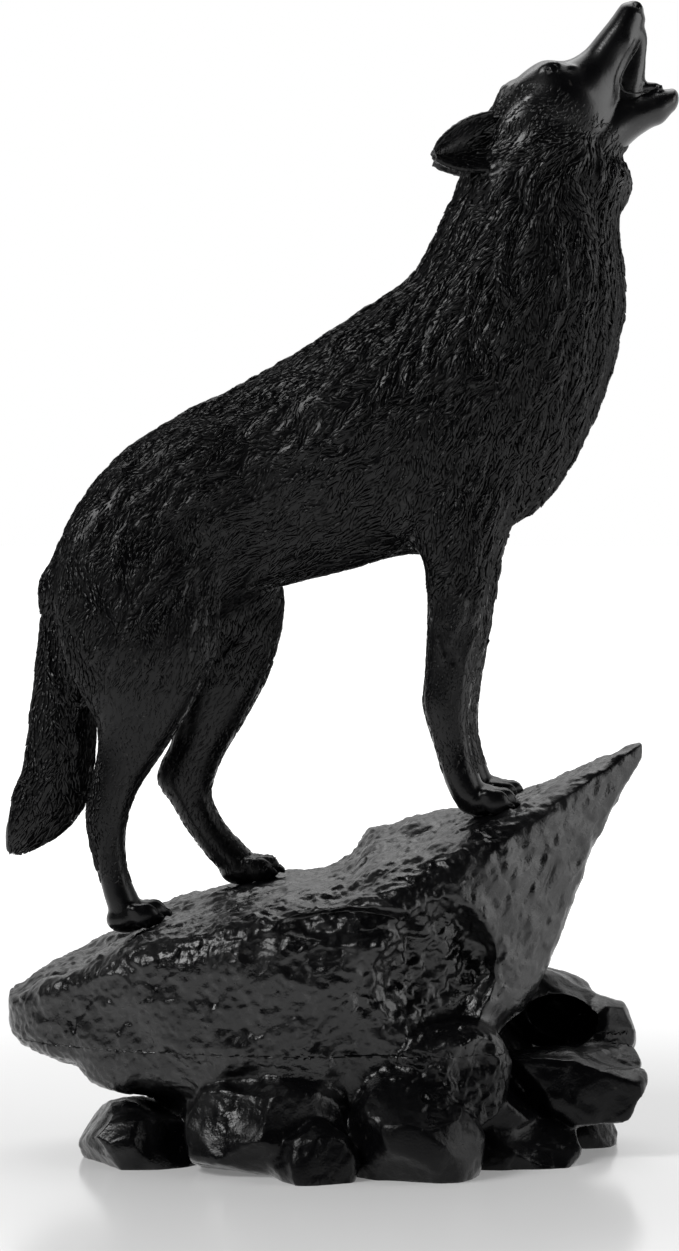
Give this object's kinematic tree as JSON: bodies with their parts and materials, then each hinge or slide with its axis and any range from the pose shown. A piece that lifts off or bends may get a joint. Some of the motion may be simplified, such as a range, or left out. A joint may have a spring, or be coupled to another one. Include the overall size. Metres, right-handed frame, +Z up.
{
  "type": "wolf figurine",
  "caption": "Table figurine: a wolf stands on a tilted slab of rock with its head thrown back to howl; the slab lies on boulders with a flat foot",
  "frame": {"origin": "middle of the flat foot of the crag, on the plane that it stands on", "axes": "+X is the way the wolf faces, -Y is its right side and +Z is up"},
  "size_m": [0.147, 0.0909, 0.2508],
  "materials": {
    "black_resin": "cast resin under glossy near-black paint, with soft grey highlights on fur and rock"
  },
  "bodies": {
    "root": {"howling_wolf_on_crag": "black_resin"}
  },
  "joints": []
}
